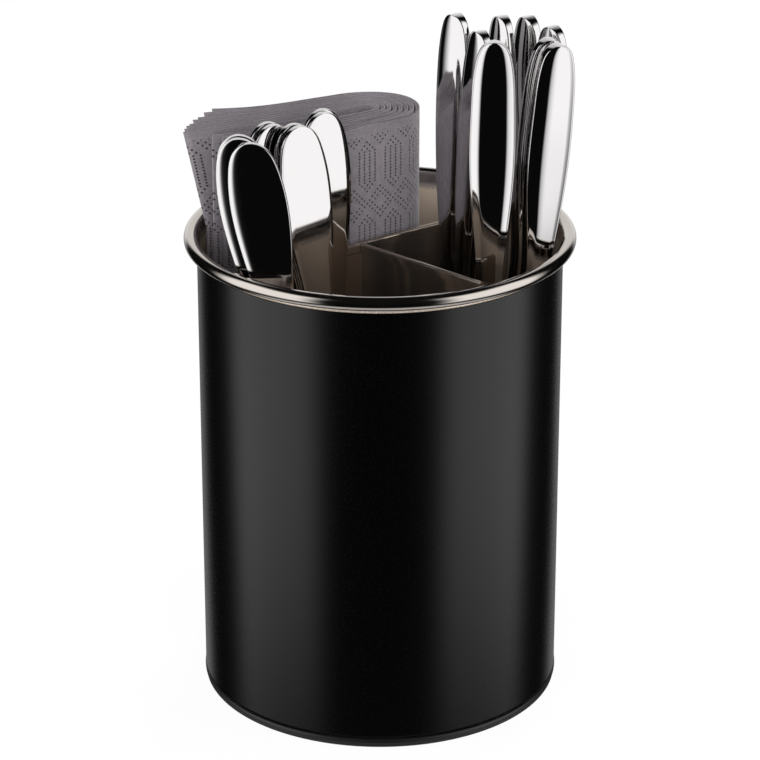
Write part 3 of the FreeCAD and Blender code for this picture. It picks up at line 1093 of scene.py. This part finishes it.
@dataclass
class Cutlery:
    """One kind of cutlery: its outline, its profile, and the frame nodes that it stands for."""

    name: str
    body: str
    count: int
    length: float
    foot_bow: float = 0.0
    end_bow: float = 0.0
    corner: float = 0.45
    slopes: tuple[float, float] = (0.24, 0.25)
    shoulder: tuple[float, float] = (0.45, 0.72)
    stations: int = 150
    curve_steps: int = 1600
    tip_half_width: float = 0.02

    def outline(self) -> np.ndarray:
        """Half width and height at each station, from the foot to the upper end."""
        raise NotImplementedError

    def profile(self, height: np.ndarray) -> np.ndarray:
        """Middle, half thickness and share of the crown at each height."""
        raise NotImplementedError

    def half_outline(self, knots: list[tuple[float, float]], start: float) -> np.ndarray:
        """Smooth half outline through knots of half width and height.

        The knots are mirrored past the upper end, so that the end is round, and the curve is
        read at even steps of its length.

        Args:
            knots: half width and height of each knot, from the foot to the upper end.
            start: height at which the outline starts.

        Returns:
            Half width and height at each station.
        """
        half = np.array(knots, float)
        whole = np.concatenate([half, (half[:-1] * [-1.0, 1.0])[::-1]])
        chord = np.concatenate([[0.0], np.cumsum(np.linalg.norm(np.diff(whole, axis=0), axis=1))])
        dense = spline(chord, whole, np.linspace(0.0, chord[len(half) - 1], self.curve_steps))
        dense = dense[dense[:, 1] >= start]
        travel = np.concatenate([[0.0], np.cumsum(np.linalg.norm(np.diff(dense, axis=0), axis=1))])
        even = np.linspace(0.0, travel[-1], self.stations)
        made = np.stack([np.interp(even, travel, dense[:, k]) for k in (0, 1)], axis=1)
        made[-1, 0] = self.tip_half_width
        return made

    def bar(self, centre: np.ndarray, half_width: np.ndarray, height: np.ndarray) -> np.ndarray:
        """Rings of a bar that follows the profile.

        Args:
            centre: distance across of the bar's middle at each station.
            half_width: half its width there.
            height: the station's height.

        Returns:
            Points by station, by place in the ring, by axis.
        """
        middle, thick, share = self.profile(height).T
        section = plate_section(half_width, thick, self.corner, self.slopes, self.shoulder, share)
        x = centre[:, None] + section[..., 0]
        y = middle[:, None] + section[..., 1]
        return np.stack([x, y, np.broadcast_to(height[:, None], x.shape)], axis=-1)

    def rings(self) -> list[np.ndarray]:
        """Every bar that the piece is made of, in its own frame."""
        outline = self.outline()
        return [self.bar(np.zeros(len(outline)), outline[:, 0], outline[:, 1])]

    def build(self, nodes: dict[str, bpy.types.Object], steel: bpy.types.Material,
              front: np.ndarray) -> None:
        """Build every piece of this kind in its place.

        Args:
            nodes: the frame's nodes by name.
            steel: the material.
            front: horizontal direction that the faces look towards.
        """
        local = self.rings()
        for number in range(1, self.count + 1):
            node = f"{self.name}_{number}"
            where = Standing.of_node(nodes[node], self.foot_bow, self.end_bow, front)
            form = Form()
            for ring in local:
                form.add_tube(where.place(ring))
            piece = form.build(f"table_{node}")
            dress(piece, steel)
            stand_for(piece, node, self.body)


@dataclass
class Forks(Cutlery):
    """Table forks with a pear-shaped handle end and four tines."""

    head_width: float = 24.0
    head_length: float = 62.0
    handle_width: float = 18.6
    handle_length: float = 95.0
    neck_width: float = 6.4
    neck_foot: float = 80.0
    sheet: float = 2.4
    rise: float = 3.0
    slopes: tuple[float, float] = (0.05, 0.22)
    shoulder: tuple[float, float] = (0.78, 1.0)
    tines: int = 4
    tine_length: float = 46.0
    slot: float = 2.6
    neck_swell: float = 1.15
    crown_part: tuple[float, float] = (60.0, 110.0)
    tip_length: float = 4.0
    taper_length: float = 14.0
    tip_taper: float = 0.9

    def knots(self) -> list[tuple[float, float]]:
        """Half width and height of the outline's knots.

        The tables give shares of the head's and the handle's length, with the share of the
        width at each.

        Returns:
            The knots from the tips to the upper end.
        """
        head = [(0.0, 0.93), (0.5, 1.0), (0.76, 0.97), (1.03, 0.55)]
        handle = [(0.76, 0.42), (0.48, 0.73), (0.23, 1.0), (0.095, 0.87), (0.02, 0.52), (0.0, 0.0)]
        made = [(self.head_width / 2 * w, self.head_length * h) for h, w in head]
        made += [(self.neck_width / 2 * self.neck_swell, self.neck_foot),
                 (self.neck_width / 2, self.length - self.handle_length)]
        return made + [(self.handle_width / 2 * w, self.length - self.handle_length * h)
                       for h, w in handle]

    def outline(self) -> np.ndarray:
        """Outline above the tines."""
        return self.half_outline(self.knots(), self.tine_length + self.slot / 2)

    def profile(self, height: np.ndarray) -> np.ndarray:
        """Middle, half thickness and share of the crown, which fades out towards the head.

        The table gives shares of the length, of the rise and of the sheet's thickness.

        Args:
            height: heights above the tips.

        Returns:
            Three numbers for each height.
        """
        table = np.array([
            (0.0, 1.8, 0.5), (0.12, 0.4, 0.7), (0.25, 0.0, 0.85), (0.36, 0.55, 1.15),
            (0.48, 1.0, 1.15), (0.65, 0.8, 1.0), (0.82, 0.25, 1.0), (1.0, -0.5, 0.85)])
        read = spline(table[:, 0] * self.length, table[:, 1:], height)
        middle, thick = read[:, 0] * self.rise, read[:, 1] * self.sheet / 2
        return np.stack([middle, thick, smooth_step(*self.crown_part, height)], axis=1)

    def rings(self) -> list[np.ndarray]:
        """The handle and head, and each tine from its root to its tip.

        A slot ends in a half circle, so half its width there is sqrt(r^2 - d^2). A tip
        narrows by the taper times 1 - sqrt(h / l).

        Returns:
            The rings of each bar.
        """
        made = super().rings()
        knots = np.array(self.knots()[:4])
        height = np.concatenate([np.linspace(0.0, self.tip_length, 8)[:-1],
                                 np.linspace(self.tip_length, self.tine_length, 24)[:-1],
                                 self.tine_length + self.slot / 2 * np.linspace(0.0, 1.0, 8)])
        side = np.interp(height, knots[:, 1], knots[:, 0])
        pitch = (self.head_width + self.slot) / self.tines
        into = np.clip(height - self.tine_length, 0.0, self.slot / 2)
        half_slot = np.sqrt(np.maximum((self.slot / 2) ** 2 - into ** 2, 0.0))
        taper = self.tip_taper * (1.0 - np.sqrt(np.clip(height / self.taper_length, 0.0, 1.0)))
        for number in range(self.tines):
            left = -self.head_width / 2 - self.slot / 2 + number * pitch
            low = np.maximum(left + half_slot, -side) + taper
            high = np.minimum(left + pitch - half_slot, side) - taper
            made.append(self.bar((low + high) / 2, (high - low) / 2, height))
        return made


@dataclass
class Knives(Cutlery):
    """Solid table knives with a thick leaf-shaped handle and a flat blade."""

    handle_length: float = 84.0
    handle_width: float = 14.8
    thickness: float = 6.2
    neck_width: float = 8.6
    blade_width: float = 18.0
    blade_thickness: float = 1.8
    bolster: float = 16.0

    def outline(self) -> np.ndarray:
        """Outline of the blade and the handle.

        The tables give shares of the length, with the share of the width at each.

        Returns:
            Half width and height at each station.
        """
        blade_length = self.length - self.handle_length
        blade = [(0.0, 0.25), (0.06, 0.7), (0.23, 1.0), (0.55, 1.0), (0.81, 0.8)]
        handle = [(0.64, 0.87), (0.43, 1.0), (0.24, 0.96), (0.083, 0.8), (0.012, 0.42),
                  (0.0, 0.0)]
        knots = [(self.blade_width / 2 * w, blade_length * h) for h, w in blade]
        knots.append((self.neck_width / 2, blade_length))
        knots += [(self.handle_width / 2 * w, self.length - self.handle_length * h)
                  for h, w in handle]
        return self.half_outline(knots, 0.0)

    def profile(self, height: np.ndarray) -> np.ndarray:
        """Middle, half thickness and share of the crown.

        The bolster thickens the blade to the handle's thickness.

        Args:
            height: heights above the blade's tip.

        Returns:
            Three numbers for each height.
        """
        blade = self.length - self.handle_length
        thin, thick = self.blade_thickness, self.thickness
        table = np.array([
            (0.0, thin * 0.8), (blade / 2, thin), (blade - self.bolster, thin * 1.15),
            (blade, thick * 0.62), (blade + self.bolster, thick * 0.9),
            (self.length - self.handle_length * 0.5, thick),
            (self.length - self.handle_length * 0.2, thick * 0.96), (self.length, thick * 0.68)])
        half = spline(table[:, 0], table[:, 1:], height)[:, 0] / 2
        share = smooth_step(blade - self.bolster, blade + self.bolster * 0.4, height)
        return np.stack([np.zeros(len(height)), half, share], axis=1)


# The studio


@dataclass(frozen=True)
class SoftLamp:
    """A square lamp that looks at the object, by its bearing from the camera's side."""

    name: str
    bearing_deg: float
    height: float
    watts: float
    size: float


@dataclass
class Studio:
    """Camera at the photograph's viewing angle, soft light, and a plain pale floor."""

    heading: tuple[float, float] = (0.6018, 0.7986)
    distance: float = 1000.0
    eye_height: float = 528.9
    pitch_deg: float = 22.923
    lens_mm: float = 154.2
    lamp_distance: float = 1200.0
    lamp_aim: float = 100.0
    lamps: tuple[SoftLamp, ...] = (
        SoftLamp("softbox_left", -75.0, 450.0, 8.0, 700.0),
        SoftLamp("softbox_right", 75.0, 450.0, 8.0, 700.0),
        SoftLamp("top_light", 160.0, 1300.0, 10.0, 600.0),
        SoftLamp("front_fill", 5.0, 420.0, 12.0, 700.0))
    ambient: float = 0.6
    box_near_edge: tuple[float, float] = (31.0, 50.0)
    box_far_edge: tuple[float, float] = (112.0, 93.0)
    box_top: tuple[float, float] = (0.85, 0.6)
    box_fade: tuple[float, float] = (-0.66, -0.38)
    backdrop_edge: tuple[float, float] = (142.0, 156.0)
    backdrop_low: tuple[float, float, float] = (-0.30, -0.05, 0.35)
    backdrop_top: tuple[float, float] = (0.86, 0.45)
    table_edge: tuple[float, float] = (-0.74, -0.86)
    box_glow: float = 1.5
    table_glow: float = 0.7
    dark_glow: float = 0.004
    floor_half: float = 4000.0
    floor_white: float = 0.93

    def front(self) -> np.ndarray:
        """Horizontal direction from the object towards the camera."""
        return np.array([-self.heading[0], -self.heading[1], 0.0])

    def camera(self) -> None:
        """Make the camera."""
        data = bpy.data.cameras.new("camera")
        data.lens = self.lens_mm
        data.sensor_width = 36.0
        data.clip_start, data.clip_end = 0.05, 20.0
        eye = bpy.data.objects.new("camera", data)
        eye.location = [*(self.front()[:2] * self.distance * MM), self.eye_height * MM]
        bearing = math.atan2(self.heading[1], self.heading[0]) - math.pi / 2
        eye.rotation_euler = (math.pi / 2 - math.radians(self.pitch_deg), 0.0, bearing)
        bpy.context.scene.collection.objects.link(eye)
        bpy.context.scene.camera = eye

    def lamp(self, soft: SoftLamp) -> None:
        """Make one soft lamp that looks at the middle of the object.

        Args:
            soft: the lamp.
        """
        data = bpy.data.lights.new(soft.name, "AREA")
        data.energy = soft.watts
        data.size = soft.size * MM
        lamp = bpy.data.objects.new(soft.name, data)
        turn = math.atan2(self.front()[1], self.front()[0]) + math.radians(soft.bearing_deg)
        reach = self.lamp_distance * MM
        lamp.location = (reach * math.cos(turn), reach * math.sin(turn), soft.height * MM)
        aim = np.array([0.0, 0.0, self.lamp_aim * MM]) - np.array(lamp.location)
        level = math.hypot(aim[0], aim[1])
        lamp.rotation_euler = (math.atan2(level, -aim[2]), 0.0,
                               math.atan2(aim[1], aim[0]) - math.pi / 2)
        lamp.visible_glossy = False
        lamp.visible_camera = False
        bpy.context.scene.collection.objects.link(lamp)

    def world(self) -> None:
        """Light the room: even ambient light, and what polished steel mirrors.

        Steel sees two tall softboxes beside the camera, a dark room in front and overhead, and
        the white backdrop behind the object. The camera sees the backdrop alone.
        """
        world = bpy.data.worlds.new("studio")
        bpy.context.scene.world = world
        world.use_nodes = True
        tree = world.node_tree
        tree.nodes.clear()
        place = add_node(tree, "ShaderNodeTexCoord")
        facing = self.front()
        beside = np.array([-facing[1], facing[0], 0.0])
        ahead, aside = (add_node(tree, "ShaderNodeVectorMath", {
            "operation": "DOT_PRODUCT", 1: [float(x) for x in axis]},
            {0: place.outputs["Generated"]}).outputs["Value"] for axis in (facing, beside))
        bearing = add_node(tree, "ShaderNodeMath", {"operation": "ARCTAN2"},
                           {0: aside, 1: ahead})
        turn = add_node(tree, "ShaderNodeMath", {"operation": "ABSOLUTE"},
                        {0: bearing.outputs[0]})
        degrees = add_node(tree, "ShaderNodeMath", {"operation": "DEGREES"},
                           {0: turn.outputs[0]})
        axes = add_node(tree, "ShaderNodeSeparateXYZ", links={0: place.outputs["Generated"]})

        def band(source: Any, low: float, high: float, top: float = 1.0) -> Any:
            """Smooth rise from 0 to top.

            Args:
                source: the socket that is read.
                low: where the rise starts.
                high: where it is full.
                top: the full value.

            Returns:
                The socket with the rise.
            """
            return add_node(tree, "ShaderNodeMapRange", {
                "interpolation_type": "SMOOTHSTEP", "From Min": low, "From Max": high,
                "To Max": top}, {"Value": source}).outputs[0]

        def product(first: Any, *others: Any) -> Any:
            """Multiply sockets.

            Args:
                first: the first socket.
                others: the others.

            Returns:
                The socket with the product.
            """
            for other in others:
                first = add_node(tree, "ShaderNodeMath", {"operation": "MULTIPLY"},
                                 {0: first, 1: other}).outputs[0]
            return first

        side, height = degrees.outputs[0], axes.outputs["Z"]
        boxes = product(band(side, *self.box_near_edge), band(side, *self.box_far_edge),
                        band(height, *self.box_top), band(height, *self.box_fade, self.box_glow))
        low, high, least = self.backdrop_low
        sunk = add_node(tree, "ShaderNodeMapRange", {
            "interpolation_type": "SMOOTHSTEP", "From Min": low, "From Max": high,
            "To Min": least}, {"Value": height})
        backdrop = product(band(side, *self.backdrop_edge), band(height, *self.backdrop_top),
                           sunk.outputs[0])
        table = band(height, *self.table_edge, self.table_glow)
        mirrored = add_node(tree, "ShaderNodeMath", {"operation": "MAXIMUM"},
                            {0: boxes, 1: backdrop})
        mirrored = add_node(tree, "ShaderNodeMath", {"operation": "MAXIMUM"},
                            {0: mirrored.outputs[0], 1: table})
        seen = add_node(tree, "ShaderNodeMath", {"operation": "ADD", 1: self.dark_glow},
                        {0: mirrored.outputs[0]})
        path = add_node(tree, "ShaderNodeLightPath")
        glossy = add_node(tree, "ShaderNodeMath", {"operation": "MAXIMUM"},
                          {0: path.outputs["Is Glossy Ray"],
                           1: path.outputs["Is Transmission Ray"]})
        light = add_node(tree, "ShaderNodeMix", {"A": self.ambient},
                         {"Factor": glossy.outputs[0], "B": seen.outputs[0]})
        strength = add_node(tree, "ShaderNodeMix", {"B": 1.0}, {
            "Factor": path.outputs["Is Camera Ray"], "A": light.outputs[0]})
        glow = add_node(tree, "ShaderNodeBackground", {"Color": linear("#ffffff")},
                        {"Strength": strength.outputs[0]})
        add_node(tree, "ShaderNodeOutputWorld", links={"Surface": glow.outputs[0]})

    def floor(self) -> None:
        """Make the floor, white to the camera, with the object's shadow left on it."""
        form = Form()
        half = self.floor_half
        form.add(np.array([[-half, -half, 0.0], [half, -half, 0.0], [half, half, 0.0],
                           [-half, half, 0.0]]), [[0, 1, 2, 3]], closed=False)
        plane = form.build("studio_floor")
        material = bpy.data.materials.new("painted_floor")
        material.use_nodes = True
        tree = material.node_tree
        tree.nodes.clear()
        paint = add_node(tree, "ShaderNodeBsdfDiffuse", {"Color": linear("#f4f4f4")})
        white = add_node(tree, "ShaderNodeEmission", {"Color": linear("#ffffff")})
        path = add_node(tree, "ShaderNodeLightPath")
        share = add_node(tree, "ShaderNodeMath", {"operation": "MULTIPLY", 1: self.floor_white},
                         {0: path.outputs["Is Camera Ray"]})
        mixed = add_node(tree, "ShaderNodeMixShader", links={
            0: share.outputs[0], 1: paint.outputs[0], 2: white.outputs[0]})
        add_node(tree, "ShaderNodeOutputMaterial", links={"Surface": mixed.outputs[0]})
        plane.data.materials.append(material)
        plane.visible_glossy = False

    def build(self) -> None:
        """Set up the camera, the lamps, the room and the floor."""
        self.camera()
        self.world()
        self.floor()
        for soft in self.lamps:
            self.lamp(soft)


def main() -> None:
    """Load the frame and dress the whole object."""
    logging.basicConfig(level=logging.INFO, format="%(name)s: %(message)s")
    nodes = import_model()["nodes"]
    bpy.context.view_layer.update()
    scene = bpy.context.scene
    scene.view_settings.view_transform = "Standard"
    studio = Studio()
    studio.build()
    RolledCan(nodes).build()
    Divider().build()
    NapkinStack().build()
    steel = CUTLERY_STEEL.material()
    front = studio.front()
    Forks("fork", "forks", 9, 196.5, foot_bow=5.4, end_bow=-1.5).build(nodes, steel, front)
    Knives("knife", "knives", 8, 222.0).build(nodes, steel, front)
    bpy.context.view_layer.update()


if __name__ == "__main__":
    main()
